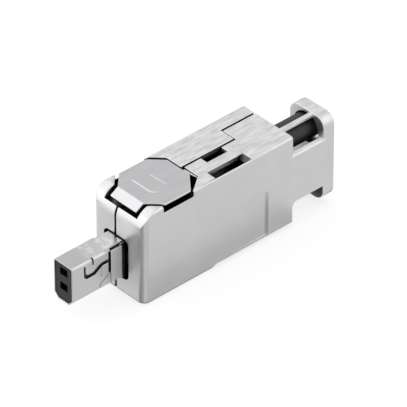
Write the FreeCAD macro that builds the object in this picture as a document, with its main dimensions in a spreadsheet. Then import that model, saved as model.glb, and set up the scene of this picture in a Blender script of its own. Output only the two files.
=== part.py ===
import FreeCAD, Part
import math
import os
import Sketcher

# Two-contact plug for a single twisted pair, assembled on the cable in the field.
# Every piece is drawn from the outer front face of the housing (X back to the cable, Y to the far
# side, Z up from the bottom edge) and its Placement then moves it to the centre of the whole plug.

os.makedirs("parts", exist_ok=True)
doc = FreeCAD.newDocument("SinglePairPlug")
sheet = doc.addObject("Spreadsheet::Sheet", "d")

dimensions = [
    # walls and edges of the housing
    ("endWall", 1.0),
    ("sideWall", 0.9),
    ("topWall", 0.85),
    ("bottomWall", 1.0),
    ("cornerRadius", 1.2),
    ("frontRound", 3.0),
    ("edgeRadius", 0.45),
    ("footStart", 12.8),
    ("footRamp", 1.0),
    ("footRise", 0.5),
    ("rearRoom", 6.3),
    # parting line between the two halves, seen from above
    ("partFrontY", 0.6),
    ("partTopY", 0.0),
    ("partRearY", 2.75),
    ("partFrontEnd", 6.0),
    ("partRearGap", 1.9),
    ("seamGap", 0.34),
    ("jogGap", 0.1),
    # shallow hollow in the side faces
    ("hollowBack", 4.9),
    ("hollowRun", 7.5),
    ("hollowDepth", 0.14),
    ("hollowLow", 0.9),
    ("hollowHeight", 7.3),
    # release button and its recess
    ("buttonFront", 2.4),
    ("buttonLength", 9.3),
    ("buttonWidth", 9.7),
    ("buttonRim", 0.4),
    ("buttonCorner", 2.15),
    ("capRearX", 2.4),
    ("capRearY", 2.9),
    ("recessRearX", 2.5),
    ("recessRearY", 1.85),
    ("buttonThick", 0.85),
    ("buttonEdge", 0.35),
    ("buttonUndercut", 0.45),
    ("buttonGap", 0.25),
    ("cornerGap", 0.2),
    ("buttonTravel", 0.9),
    ("stopGap", 0.15),
    ("lipReach", 1.4),
    ("lipDrop", 0.8),
    ("lipThick", 0.3),
    ("lipGap", 0.7),
    ("lipFrontGap", 0.5),
    ("recessPlate", 0.6),
    ("sideCutStart", 3.9),
    ("sideCutLength", 5.3),
    ("sideCutDepth", 1.05),
    ("stepBevel", 0.4),
    ("ledgeReach", 0.35),
    ("ledgeWidth", 3.1),
    ("ledgeDrop", 0.35),
    ("skirtInsetX", 1.35),
    ("skirtInsetY", 1.45),
    ("skirtGap", 0.2),
    ("lugReach", 0.7),
    ("lugThick", 0.5),
    ("lugWidth", 4.0),
    # windows in the top face
    ("innerSlotBack", 2.7),
    ("innerSlotLength", 3.9),
    ("innerSlotWidth", 1.5),
    ("outerSlotBack", 1.05),
    ("outerSlotLength", 6.1),
    ("outerSlotWidth", 1.8),
    ("outerSlotRim", 0.2),
    ("outerSlotRamp", 0.85),
    # neck and cable end
    ("neckLength", 5.9),
    ("neckWall", 0.9),
    ("neckLow", 3.85),
    ("neckBelowCable", 0.4),
    ("neckRadius", 0.9),
    ("ledgeRadius", 0.35),
    ("plateThick", 2.1),
    ("plateWidth", 7.0),
    ("plateLow", 1.1),
    ("plateRadius", 1.7),
    ("barWidth", 0.8),
    ("barThick", 0.5),
    ("barOffset", 1.2),
    ("cableY", -1.2),
    ("sleeveRadius", 2.05),
    ("sleeveWall", 0.45),
    ("sleeveGap", 0.1),
    ("sleeveInset", 0.3),
    ("sleeveBack", 0.2),
    ("entryGap", 0.42),
    ("entryShift", 0.4),
    # plug face
    ("plugY", 0.45),
    ("plugZ", 6.06),
    ("tongueReach", 9.8),
    ("tongueWidth", 3.9),
    ("tongueHeight", 6.6),
    ("tongueCorner", 0.85),
    ("openingSide", 0.55),
    ("openingOver", 0.15),
    ("openingRound", 0.9),
    ("sheet", 0.2),
    ("sheetBend", 0.45),
    ("shellEnd", 2.75),
    ("endSlot", 0.4),
    ("endSlotLow", 2.75),
    ("bossRise", 0.1),
    ("flapGap", 0.25),
    ("insertInset", 0.1),
    ("fit", 0.05),
    ("join", 0.3),
    ("over", 0.1),
    ("collarFront", 2.65),
    ("collarBack", 0.6),
    ("collarNeckInset", 0.35),
    ("collarNeckLength", 1.25),
    ("collarFlange", 0.6),
    ("collarLap", 0.85),
    ("flangeGap", 0.55),
    ("stemInset", 0.4),
    # contacts
    ("contactPitch", 2.54),
    ("contactRise", 0.5),
    ("holeWidth", 1.55),
    ("holeHeight", 1.25),
    ("holeDepth", 5.4),
    ("receptacleStart", 2.0),
    ("receptacleGap", 0.5),
    ("receptacleWall", 0.15),
    ("receptacleFloor", 0.3),
    ("contactThick", 0.3),
    ("beamHeight", 0.8),
    ("forkWidth", 2.2),
    ("forkRise", 1.0),
    ("forkSlot", 0.36),
    ("forkSlotDepth", 2.0),
    ("forkBack", 1.0),
    ("forkStep", 3.0),
    ("wirePitch", 2.7),
    # carrier and wire cap
    ("carrierStep", 0.2),
    ("carrierGapX", 0.45),
    ("carrierGapY", 0.15),
    ("capBack", 0.55),
    ("capLength", 8.6),
    ("capInset", 0.5),
    ("capGap", 0.2),
    ("capFace", 0.4),
    ("forkHeadroom", 0.3),
    ("wireRadius", 0.65),
    ("wireDrop", 1.8),
    # latch slider
    ("fingerGap", 0.15),
    ("fingerThick", 0.5),
    ("fingerTip", 0.4),
    ("fingerLow", 0.85),
    ("fingerHigh", 1.15),
    ("sliderPlate", 2.6),
    ("sliderHeight", 1.84),
    ("sliderLength", 1.7),
    ("rampGap", 0.07),
    ("wedgeWidth", 2.1),
    ("wedgeLength", 1.8),
    # springs
    ("buttonSpringRadius", 1.1),
    ("buttonSpringWire", 0.25),
    ("buttonSpringGap", 0.45),
    ("buttonSpringTurns", 5),
    ("springRoof", 0.7),
    ("springSeat", 0.02),
    ("sliderSpringRadius", 0.65),
    ("sliderSpringWire", 0.2),
    ("sliderSpringTurns", 4),
    # cable shield clip and its saddles
    ("clipBack", 0.6),
    ("clipLength", 2.6),
    ("clipRise", 0.5),
    ("saddleThick", 0.6),
    ("saddleInset", 0.1),
    # dowels between the halves
    ("bossRadius", 0.8),
    ("dowelRadius", 0.45),
    ("dowelDepth", 1.2),
    ("frontDowelZ", 1.75),
    ("rearDowelZ", 4.0),
]

for row, (alias, number) in enumerate(dimensions, start=1):
    sheet.set("A%d" % row, alias)
    sheet.set("B%d" % row, str(number))
    sheet.setAlias("B%d" % row, alias)
doc.recompute()

# Places and sizes that follow from the ones above. The height is the stack of the tongue, the latch
# slider, the button's skirt and its recess, so the parts keep together when one of them changes.
followers = [
    # plug face
    ("tongueLow", "d.plugZ - d.tongueHeight / 2"),
    ("tongueTop", "d.plugZ + d.tongueHeight / 2"),
    ("openingWidth", "d.tongueWidth + 2 * d.openingSide"),
    ("openingHeight", "d.tongueHeight + 2 * d.openingOver"),
    ("neckHalf", "d.tongueWidth / 2 - d.collarNeckInset"),
    ("collarNeckEnd", "d.endWall + d.fit + d.collarFlange + d.collarNeckLength"),
    ("stemHalf", "k.neckHalf - d.stemInset"),
    ("stemLow", "k.tongueLow + d.collarNeckInset + d.stemInset - d.fit"),
    ("stemTop", "k.tongueTop - d.collarNeckInset - d.stemInset + d.fit"),
    ("upperZ", "d.plugZ + d.contactRise + d.contactPitch / 2"),
    ("lowerZ", "d.plugZ + d.contactRise - d.contactPitch / 2"),
    ("receptacleLength", "d.holeDepth - d.receptacleStart - d.receptacleGap"),
    # stack of slider, button and recess, upward from the carrier's neck
    ("carrierNeckTop", "k.tongueTop + d.fit"),
    ("carrierTop", "k.carrierNeckTop + d.carrierStep"),
    ("sliderLow", "k.carrierNeckTop + d.fit"),
    ("sliderTop", "k.sliderLow + d.sliderHeight"),
    ("skirtLow", "k.sliderTop + d.buttonTravel + d.stopGap"),
    ("wedgeLow", "k.carrierNeckTop + d.buttonTravel + d.fit"),
    ("roof", "k.skirtLow + d.lugThick + d.fit"),
    ("recessFloor", "k.roof + d.recessPlate"),
    ("recessDepth", "d.stopGap + d.buttonTravel + d.buttonThick"),
    ("bodyHeight", "k.recessFloor + k.recessDepth"),
    ("capLow", "k.bodyHeight - d.buttonThick"),
    # along the plug, back from its front face
    ("sliderFront", "k.collarNeckEnd + 2 * d.fit"),
    ("ramp", "k.sliderTop + k.sliderFront + d.sliderLength"),
    ("wedgeFront", "k.sliderFront + d.sliderLength + d.over"),
    ("wedgeBack", "k.wedgeFront + d.wedgeLength"),
    ("carrierStart", "k.ramp - k.sliderLow + d.carrierGapX"),
    ("buttonSpringX", "k.wedgeBack + d.buttonSpringRadius + d.buttonSpringWire + d.buttonSpringGap"),
    ("buttonEnd", "d.buttonFront + d.buttonLength"),
    ("skirtFront", "d.buttonFront + d.skirtInsetX"),
    ("skirtBack", "k.buttonEnd - d.skirtInsetX"),
    ("recessEnd", "k.buttonEnd + d.endWall"),
    ("innerSlotStart", "k.recessEnd + d.innerSlotBack"),
    ("outerSlotStart", "k.recessEnd + d.outerSlotBack"),
    ("capStart", "k.skirtBack + d.lugReach + d.capBack"),
    ("carrierEnd", "k.capStart + d.capLength"),
    ("forkUpperX", "k.capStart + d.forkBack"),
    ("forkLowerX", "k.forkUpperX + d.forkStep"),
    ("partRearStart", "k.carrierEnd + d.partRearGap"),
    ("bodyLength", "k.partRearStart + d.rearRoom"),
    ("hollowEnd", "k.bodyLength - d.hollowBack"),
    ("plateStart", "k.bodyLength + d.neckLength"),
    ("frontDowelX", "d.partFrontEnd - d.bossRadius"),
    ("rearDowelX", "k.partRearStart - d.over - d.bossRadius"),
    ("sleeveStart", "k.partRearStart + d.sleeveBack"),
    ("clipStart", "k.sleeveStart + d.clipBack"),
    # across the plug
    ("side", "d.buttonWidth / 2 + d.buttonRim"),
    ("bodyWidth", "2 * k.side"),
    ("flangeHalf", "k.side - d.sideWall - d.flangeGap"),
    ("skirtHalf", "d.buttonWidth / 2 - d.skirtInsetY"),
    ("lipHalf", "d.buttonWidth / 2 - d.buttonCorner"),
    ("carrierHalf", "k.side - d.sideWall - d.carrierGapY"),
    ("capHalf", "k.carrierHalf - d.capInset"),
    ("fingerInner", "k.neckHalf + d.fingerGap"),
    # wires and cable, downward from the roof
    ("capTop", "k.roof - d.capGap"),
    ("wireZ", "k.capTop - d.wireDrop"),
    ("forkTop", "k.wireZ + d.forkRise"),
    ("cableZ", "k.bodyHeight - d.topWall - d.sleeveGap - d.sleeveRadius"),
    ("sleeveBore", "d.sleeveRadius - d.sleeveWall"),
    ("entryRadius", "d.sleeveRadius + d.entryGap"),
    ("entryY", "d.cableY - d.entryShift"),
    ("neckHigh", "k.cableZ - d.neckBelowCable"),
    ("barY", "d.cableY - d.barOffset"),
    ("sliderSpringZ", "(k.sliderLow + k.sliderTop) / 2"),
    # the middle of the whole plug, from the tip of its tongue to the cable plate
    ("middle", "(k.plateStart + d.plateThick - d.tongueReach) / 2"),
]
places = doc.addObject("App::VarSet", "k")
for name, text in followers:
    places.addProperty("App::PropertyFloat", name)
    places.setExpression(name, text)
    doc.recompute()


def value(text):
    """Number that an expression gives with the present sheet."""
    return float(sheet.evalExpression(text))


def newPiece(label):
    """A body of its own for one piece of the plug, placed from the middle of the plug."""
    body = doc.addObject("PartDesign::Body", label)
    body.Label = label
    body.setExpression("Placement.Base.x", "-k.middle")
    return body


def newSketch(body, name, plane, at):
    """Sketch on one of the body's own planes, moved along the plane's axis to the place at."""
    sketch = body.newObject("Sketcher::SketchObject", name)
    support = [f for f in body.Origin.OriginFeatures if f.Role == plane + "_Plane"][0]
    sketch.AttachmentSupport = [(support, "")]
    sketch.MapMode = "FlatFace"
    sign = "-" if plane == "XZ" else ""
    sketch.setExpression(".AttachmentOffset.Base.z", "%s(%s)" % (sign, at))
    return sketch


def bind(sketch, kind, line, end, text):
    """Distance of a point from the sketch's origin, bound to an expression."""
    number = sketch.addConstraint(Sketcher.Constraint(kind, -1, 1, line, end, value(text)))
    sketch.setExpression("Constraints[%d]" % number, text)


def addOutline(sketch, points):
    """Closed outline through the points, each a pair of expressions."""
    first = sketch.GeometryCount
    count = len(points)
    corners = [FreeCAD.Vector(value(u), value(v), 0) for u, v in points]
    for i in range(count):
        sketch.addGeometry(Part.LineSegment(corners[i], corners[(i + 1) % count]))
    for i in range(count):
        following = first + (i + 1) % count
        sketch.addConstraint(Sketcher.Constraint("Coincident", first + i, 2, following, 1))
    for i, (u, v) in enumerate(points):
        bind(sketch, "DistanceX", first + i, 1, u)
        bind(sketch, "DistanceY", first + i, 1, v)


def addCircle(sketch, circle):
    """Circle given by expressions for its centre and radius."""
    u, v, radius = circle
    centre = FreeCAD.Vector(value(u), value(v), 0)
    line = sketch.addGeometry(Part.Circle(centre, FreeCAD.Vector(0, 0, 1), value(radius)))
    bind(sketch, "DistanceX", line, 3, u)
    bind(sketch, "DistanceY", line, 3, v)
    number = sketch.addConstraint(Sketcher.Constraint("Radius", line, value(radius)))
    sketch.setExpression("Constraints[%d]" % number, radius)


def drawShapes(body, name, plane, at, shapes):
    sketch = newSketch(body, name + "Sketch", plane, at)
    for shape in shapes:
        if callable(shape):
            shape(sketch)
        elif len(shape) == 3 and isinstance(shape[0], str):
            addCircle(sketch, shape)
        else:
            addOutline(sketch, shape)
    return sketch


def addPad(body, name, plane, at, length, *shapes):
    """Material from the place at, for the length, toward the plane's positive axis."""
    sketch = drawShapes(body, name, plane, at, shapes)
    pad = body.newObject("PartDesign::Pad", name)
    pad.Profile = sketch
    pad.setExpression("Length", length)
    pad.Reversed = plane == "XZ"
    doc.recompute()
    return pad


def cutPocket(body, name, plane, at, length, *shapes):
    """Cut from the place at, for the length, toward the plane's positive axis."""
    before = body.Shape.Volume
    sketch = drawShapes(body, name, plane, at, shapes)
    pocket = body.newObject("PartDesign::Pocket", name)
    pocket.Profile = sketch
    pocket.setExpression("Length", length)
    pocket.Reversed = plane != "XZ"
    doc.recompute()
    if body.Shape.Volume > before - 1e-4:
        raise ValueError("%s took nothing away from %s" % (name, body.Label))
    return pocket


def rectangle(u0, u1, v0, v1):
    return [(u0, v0), (u1, v0), (u1, v1), (u0, v1)]


def edgesAlong(shape, axis, first, second, reach=0.02):
    """Names of straight edges along an axis that pass the place (first, second) across it."""
    names = []
    others = [i for i in range(3) if i != axis]
    for number, edge in enumerate(shape.Edges, start=1):
        ends = [v.Point for v in edge.Vertexes]
        if len(ends) != 2 or edge.Curve.TypeId != "Part::GeomLine":
            continue
        if abs(ends[0][axis] - ends[1][axis]) < 0.05:
            continue
        near = True
        for other, wanted in zip(others, (first, second)):
            if wanted is None:
                near = near and abs(ends[0][other] - ends[1][other]) < reach
            else:
                near = near and all(abs(end[other] - wanted) < reach for end in ends)
        if near:
            names.append("Edge%d" % number)
    return names


def addFillet(body, name, radius, edges, kind="PartDesign::Fillet"):
    if not edges:
        raise ValueError("%s found no edge in %s" % (name, body.Label))
    base = body.Tip
    fillet = body.newObject(kind, name)
    fillet.Base = (base, edges)
    fillet.setExpression("Radius" if kind.endswith("Fillet") else "Size", radius)
    doc.recompute()
    return fillet


def buttonOutline(gap, corner, rearX, rearY):
    """Eight-sided outline in plan, wider than the button by the gap, and its corners cut off."""
    front = "d.buttonFront - " + gap
    back = "k.buttonEnd + " + gap
    near = "-d.buttonWidth / 2 - " + gap
    far = "d.buttonWidth / 2 + " + gap
    return [
        ("%s + %s" % (front, corner), near),
        ("%s - %s" % (back, rearX), near),
        (back, "%s + %s" % (near, rearY)),
        (back, "%s - %s" % (far, corner)),
        ("%s - %s" % (back, corner), far),
        ("%s + %s" % (front, corner), far),
        (front, "%s - %s" % (far, corner)),
        (front, "%s + %s" % (near, corner)),
    ]


def tongueOutline(inset, drop="0"):
    """Section of the tongue: square on top, lower corners cut off, smaller by the inset."""
    left = "d.plugY - d.tongueWidth / 2 + %s" % inset
    right = "d.plugY + d.tongueWidth / 2 - %s" % inset
    low = "k.tongueLow" + " + " + inset
    top = "k.tongueTop - " + inset + " - " + drop
    corner = "(d.tongueCorner - %s * 0.586)" % inset
    return [
        ("%s + %s" % (left, corner), low),
        ("%s - %s" % (right, corner), low),
        (right, "%s + %s" % (low, corner)),
        (right, top),
        (left, top),
        (left, "%s + %s" % (low, corner)),
    ]


def blockOutline():
    """Side view of the housing block, with its raised rear foot."""
    return [
        ("0 * k.bodyLength", "0 * k.bodyHeight"),
        ("d.footStart", "0 * k.bodyHeight"),
        ("d.footStart + d.footRamp", "d.footRise"),
        ("k.bodyLength", "d.footRise"),
        ("k.bodyLength", "k.bodyHeight"),
        ("0 * k.bodyLength", "k.bodyHeight"),
    ]


def cavityOutline():
    """Side view of the room inside the housing, under the button's recess and behind it."""
    return [
        ("d.endWall", "d.bottomWall"),
        ("d.footStart", "d.bottomWall"),
        ("d.footStart + d.footRamp", "d.bottomWall + d.footRise"),
        ("k.bodyLength - d.endWall", "d.bottomWall + d.footRise"),
        ("k.bodyLength - d.endWall", "k.bodyHeight - d.topWall"),
        ("k.recessEnd", "k.bodyHeight - d.topWall"),
        ("k.recessEnd", "k.roof"),
        ("d.endWall", "k.roof"),
    ]


def openingOutline():
    return rectangle(
        "d.plugY - k.openingWidth / 2",
        "d.plugY + k.openingWidth / 2",
        "d.plugZ - k.openingHeight / 2",
        "d.plugZ + k.openingHeight / 2",
    )


def drawFrontRound(sketch):
    """Side view of what the round takes from the front top edge of the housing."""
    low = "k.bodyHeight - d.frontRound"
    over = "k.bodyHeight + d.endWall"
    points = [
        ("0 * d.frontRound", low),
        ("-d.endWall", low),
        ("-d.endWall", over),
        ("d.frontRound", over),
        ("d.frontRound", "k.bodyHeight"),
    ]
    corners = [FreeCAD.Vector(value(u), value(v), 0) for u, v in points]
    for i in range(4):
        sketch.addGeometry(Part.LineSegment(corners[i], corners[i + 1]))
        bind(sketch, "DistanceX", i, 1, points[i][0])
        bind(sketch, "DistanceY", i, 1, points[i][1])
        if i:
            sketch.addConstraint(Sketcher.Constraint("Coincident", i - 1, 2, i, 1))
    bind(sketch, "DistanceX", 3, 2, points[4][0])
    bind(sketch, "DistanceY", 3, 2, points[4][1])
    radius = value("d.frontRound")
    centre = FreeCAD.Vector(radius, value(low), 0)
    circle = Part.Circle(centre, FreeCAD.Vector(0, 0, 1), radius)
    sketch.addGeometry(Part.ArcOfCircle(circle, math.pi / 2, math.pi))
    sketch.addConstraint(Sketcher.Constraint("Coincident", 4, 1, 3, 2))
    sketch.addConstraint(Sketcher.Constraint("Coincident", 4, 2, 0, 1))
    number = sketch.addConstraint(Sketcher.Constraint("Radius", 4, radius))
    sketch.setExpression("Constraints[%d]" % number, "d.frontRound")


def cutOpening(body, side):
    """Opening in the front wall for the plug's tongue, its corners rounded."""
    cutPocket(body, "plugOpening", "YZ", "-d.endWall", "2 * d.endWall + d.over",
              openingOutline())
    wall = value("d.plugY") + side * value("k.openingWidth") / 2
    corners = []
    for z in ("d.plugZ - k.openingHeight / 2", "d.plugZ + k.openingHeight / 2"):
        corners += edgesAlong(body.Tip.Shape, 0, wall, value(z))
    addFillet(body, "openingCorners", "d.openingRound", corners)


def cutButtonRoom(body):
    """Recess for the button, the room for its lip and the hole for its skirt."""
    cutPocket(body, "buttonRecess", "XY", "k.recessFloor", "k.recessDepth + 1",
              buttonOutline("d.buttonGap", "(d.buttonCorner - d.cornerGap)", "d.recessRearX",
                            "d.recessRearY"))
    cutPocket(body, "lipRecess", "XY", "k.recessFloor + d.buttonThick - d.lipDrop - d.lipThick",
              "k.recessDepth + 1",
              rectangle("d.buttonFront - d.lipReach - d.lipFrontGap",
                        "d.buttonFront + d.buttonUndercut + d.over + d.buttonGap",
                        "-k.lipHalf - d.lipGap", "k.lipHalf + d.lipGap"))
    cutPocket(body, "skirtHole", "XY", "k.roof - d.over", "d.recessPlate + 2 * d.over",
              rectangle("k.skirtFront - d.skirtGap", "k.skirtBack + d.skirtGap",
                        "-k.skirtHalf - d.skirtGap", "k.skirtHalf + d.skirtGap"))


def cutHollow(body, side):
    """Shallow hollow in a side face that deepens toward the cable and ends in a small step."""
    wall = "%s * k.side" % side
    cutPocket(body, "sideHollow", "XY", "d.hollowLow", "d.hollowHeight", [
        ("k.hollowEnd - d.hollowRun", wall),
        ("k.hollowEnd", "%s * (k.side - d.hollowDepth)" % side),
        ("k.hollowEnd", "%s * (k.side + 1)" % side),
        ("k.hollowEnd - d.hollowRun", "%s * (k.side + 1)" % side),
    ])


def cutSideNotch(body, side):
    """Lower rim beside the button, so that a finger finds the button's edge."""
    inner = "%s * (k.side - d.sideWall)" % side
    outer = "%s * (k.side + 1)" % side
    end = "d.sideCutStart + d.sideCutLength"
    cutPocket(body, "sideNotch", "XY", "k.bodyHeight - d.sideCutDepth", "d.sideCutDepth + 1", [
        ("d.sideCutStart", inner),
        (end, inner),
        (end, "%s * (k.side - d.stepBevel)" % side),
        (end + " + d.stepBevel", "%s * k.side" % side),
        (end + " + d.stepBevel", outer),
        ("d.sideCutStart", outer),
    ])


def roundBlock(body, side):
    """Rounded front corner, side edges and front top edge of one half."""
    wall = side * value("k.side")
    top = value("k.bodyHeight")
    addFillet(body, "cornerRound", "d.cornerRadius", edgesAlong(body.Tip.Shape, 2, 0, wall))
    addFillet(body, "topRound", "d.edgeRadius", edgesAlong(body.Tip.Shape, 0, wall, top))
    addFillet(body, "bottomRound", "d.edgeRadius", edgesAlong(body.Tip.Shape, 0, wall, 0))
    cutPocket(body, "frontRound", "XZ", "-k.bodyWidth", "2 * k.bodyWidth", drawFrontRound)


def makeNearHalf():
    """Die-cast half on the near side, with the neck and the cable plate in one piece with it."""
    body = newPiece("housing_near_half")
    addPad(body, "block", "XZ", "-k.side", "k.side + d.partRearY - d.seamGap / 2",
           blockOutline())
    roundBlock(body, -1)
    cutPocket(body, "cavity", "XZ", "d.sideWall - k.side", "k.bodyWidth", cavityOutline())
    cutPocket(body, "partingCut", "XY", "-d.endWall", "k.bodyHeight + 2 * d.endWall", [
        ("-d.endWall", "d.partFrontY - d.seamGap / 2"),
        ("d.partFrontEnd", "d.partFrontY - d.seamGap / 2"),
        ("d.partFrontEnd", "d.partTopY - d.seamGap / 2"),
        ("k.partRearStart", "d.partTopY - d.seamGap / 2"),
        ("k.partRearStart", "k.bodyWidth"),
        ("-d.endWall", "k.bodyWidth"),
    ])
    cutOpening(body, -1)
    cutButtonRoom(body)
    cutSideNotch(body, -1)
    cutPocket(body, "rearLedge", "XY", "k.bodyHeight - d.ledgeDrop", "d.ledgeDrop + 1",
              rectangle("k.buttonEnd", "k.buttonEnd + d.buttonGap + d.ledgeReach",
                        "-d.ledgeWidth", "k.bodyWidth"))
    cutPocket(body, "innerSlot", "XY", "k.bodyHeight - 2 * d.topWall", "3 * d.topWall",
              rectangle("k.innerSlotStart", "k.innerSlotStart + d.innerSlotLength",
                        "-d.innerSlotWidth", "k.bodyWidth"))
    cutPocket(body, "outerSlot", "XY", "k.bodyHeight - 2 * d.topWall", "3 * d.topWall",
              rectangle("k.outerSlotStart", "k.outerSlotStart + d.outerSlotLength",
                        "d.outerSlotRim - k.side",
                        "d.outerSlotRim + d.outerSlotWidth - k.side"))
    slotEnd = "k.outerSlotStart + d.outerSlotLength"
    cutPocket(body, "outerSlotRamp", "XZ", "d.outerSlotRim - k.side", "d.outerSlotWidth", [
        (slotEnd + " - d.over", "k.bodyHeight - d.topWall"),
        (slotEnd, "k.bodyHeight - d.topWall"),
        (slotEnd + " + d.outerSlotRamp", "k.bodyHeight"),
        (slotEnd + " + d.outerSlotRamp", "k.bodyHeight + 1"),
        (slotEnd + " - d.over", "k.bodyHeight + 1"),
    ])
    cutHollow(body, -1)
    addPad(body, "neckWall", "XZ", "-k.side", "d.neckWall",
           rectangle("k.bodyLength - d.join", "k.plateStart + d.join", "d.neckLow", "k.neckHigh"))
    addPad(body, "cablePlate", "YZ", "k.plateStart", "d.plateThick",
           rectangle("-k.side", "d.plateWidth - k.side", "d.plateLow", "k.bodyHeight"))
    near = -value("k.side")
    far = value("d.plateWidth - k.side")
    low = value("d.plateLow")
    top = value("k.bodyHeight")
    corners = []
    for y in (near, far):
        for z in (low, top):
            corners += edgesAlong(body.Tip.Shape, 0, y, z)
    addFillet(body, "plateRound", "d.plateRadius", corners)
    rear = value("k.bodyLength")
    addFillet(body, "neckRound", "d.neckRadius",
              edgesAlong(body.Tip.Shape, 1, rear, value("d.neckLow")))
    addFillet(body, "ledgeRound", "d.ledgeRadius",
              edgesAlong(body.Tip.Shape, 1, value("k.plateStart"), value("k.neckHigh")))
    addPad(body, "topBar", "XY", "k.cableZ + d.sleeveRadius + d.sleeveGap", "d.barThick",
           rectangle("k.bodyLength - d.join", "k.plateStart + d.join",
                     "k.barY - d.barWidth / 2", "k.barY + d.barWidth / 2"))
    cutPocket(body, "cableEntry", "YZ", "k.plateStart - d.over",
              "d.plateThick + 2 * d.over",
              ("k.entryY", "k.cableZ", "k.entryRadius"))
    cutPocket(body, "sleeveHole", "YZ", "k.bodyLength - 1.5 * d.endWall", "1.6 * d.endWall",
              ("d.cableY", "k.cableZ", "d.sleeveRadius + d.sleeveGap"))
    for name, start in (
        ("frontSaddle", "k.clipStart + d.saddleInset"),
        ("rearSaddle", "k.clipStart + d.clipLength - d.saddleThick - d.saddleInset"),
    ):
        addPad(body, name, "YZ", start, "d.saddleThick",
               rectangle("d.sideWall / 2 - k.side", "d.partRearY - d.seamGap / 2",
                         "d.bottomWall", "k.cableZ - d.sleeveRadius / 2"))
    cutPocket(body, "saddleSeat", "YZ", "k.clipStart", "d.clipLength",
              ("d.cableY", "k.cableZ", "d.sleeveRadius + d.sheet + 2 * d.fit"))
    for name, x, z, y in (
        ("front", "k.frontDowelX", "d.frontDowelZ", "d.partFrontY"),
        ("rear", "k.rearDowelX", "d.rearDowelZ", "d.partTopY"),
    ):
        face = y + " - d.seamGap / 2"
        addPad(body, name + "Boss", "XZ", "d.sideWall / 2 - k.side",
               "k.side - d.sideWall / 2 + %s" % face, (x, z, "d.bossRadius"))
        cutPocket(body, name + "DowelHole", "XZ", face + " - d.dowelDepth - d.over",
                  "d.dowelDepth + 2 * d.over", (x, z, "d.dowelRadius + d.fit"))
    return body


def makeFarHalf():
    """Die-cast cover half on the far side, with the two dowels."""
    body = newPiece("housing_far_half")
    addPad(body, "block", "XZ", "d.partTopY + d.seamGap / 2",
           "k.side - d.partTopY - d.seamGap / 2", blockOutline())
    roundBlock(body, 1)
    cutPocket(body, "cavity", "XZ", "-k.bodyWidth", "k.bodyWidth + k.side - d.sideWall",
              cavityOutline())
    cutPocket(body, "partingCut", "XY", "-d.endWall", "k.bodyHeight + 2 * d.endWall", [
        ("-d.endWall", "-k.bodyWidth"),
        ("k.bodyLength + d.endWall", "-k.bodyWidth"),
        ("k.bodyLength + d.endWall", "d.partRearY + d.seamGap / 2"),
        ("k.partRearStart - d.jogGap", "d.partRearY + d.seamGap / 2"),
        ("k.partRearStart - d.jogGap", "d.partTopY + d.seamGap / 2"),
        ("d.partFrontEnd + d.seamGap", "d.partTopY + d.seamGap / 2"),
        ("d.partFrontEnd + d.seamGap", "d.partFrontY + d.seamGap / 2"),
        ("-d.endWall", "d.partFrontY + d.seamGap / 2"),
    ])
    cutOpening(body, 1)
    cutButtonRoom(body)
    cutSideNotch(body, 1)
    cutHollow(body, 1)
    for name, x, z, y in (
        ("front", "k.frontDowelX", "d.frontDowelZ", "d.partFrontY"),
        ("rear", "k.rearDowelX", "d.rearDowelZ", "d.partTopY"),
    ):
        face = y + " + d.seamGap / 2"
        addPad(body, name + "Boss", "XZ", face, "k.side - d.sideWall / 2 - (%s)" % face,
               (x, z, "d.bossRadius"))
        addPad(body, name + "Dowel", "XZ", face + " - d.seamGap - d.dowelDepth",
               "d.dowelDepth + d.seamGap + d.join", (x, z, "d.dowelRadius"))
    return body


def makeButton():
    """Release button: bevelled eight-sided cap on a skirt that runs in the housing's plate."""
    body = newPiece("release_button")
    corners = ("d.buttonCorner", "d.capRearX", "d.capRearY")
    addPad(body, "cap", "XY", "k.bodyHeight - d.buttonEdge", "d.buttonEdge",
           buttonOutline("0", *corners))
    addPad(body, "core", "XY", "k.capLow", "d.buttonThick - d.buttonEdge + d.over",
           buttonOutline("(-d.buttonUndercut)", *corners))
    lipFront = "d.buttonFront - d.lipReach"
    lipBack = "d.buttonFront + d.buttonUndercut + d.over"
    addPad(body, "lip", "XZ", "-k.lipHalf", "2 * k.lipHalf", [
        (lipBack, "k.bodyHeight - d.buttonEdge / 2"),
        ("d.buttonFront + d.over", "k.bodyHeight - d.buttonEdge / 2"),
        ("d.buttonFront", "k.bodyHeight"),
        (lipFront, "k.bodyHeight - d.lipDrop"),
        (lipFront, "k.bodyHeight - d.lipDrop - d.lipThick"),
        (lipBack, "k.bodyHeight - d.lipDrop - d.lipThick"),
    ])
    addPad(body, "skirt", "XY", "k.skirtLow", "k.capLow - k.skirtLow",
           rectangle("k.skirtFront", "k.skirtBack", "-k.skirtHalf", "k.skirtHalf"))
    addPad(body, "lugs", "XY", "k.skirtLow", "d.lugThick",
           rectangle("k.skirtFront - d.lugReach", "k.skirtBack + d.lugReach",
                     "-d.lugWidth / 2", "d.lugWidth / 2"))
    addPad(body, "wedge", "XZ", "d.plugY - d.wedgeWidth / 2", "d.wedgeWidth", [
        ("k.wedgeFront", "k.skirtLow + d.over"),
        ("k.wedgeFront", "k.ramp + d.rampGap - k.wedgeFront"),
        ("k.ramp + d.rampGap - k.wedgeLow", "k.wedgeLow"),
        ("k.wedgeBack", "k.wedgeLow"),
        ("k.wedgeBack", "k.skirtLow + d.over"),
    ])
    cutPocket(body, "springRoom", "XY", "k.skirtLow - d.over",
              "k.capLow - k.skirtLow - d.springRoof + d.over",
              ("k.buttonSpringX", "0", "d.buttonSpringRadius + d.buttonSpringWire + 2 * d.fit"))
    return body


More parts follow.
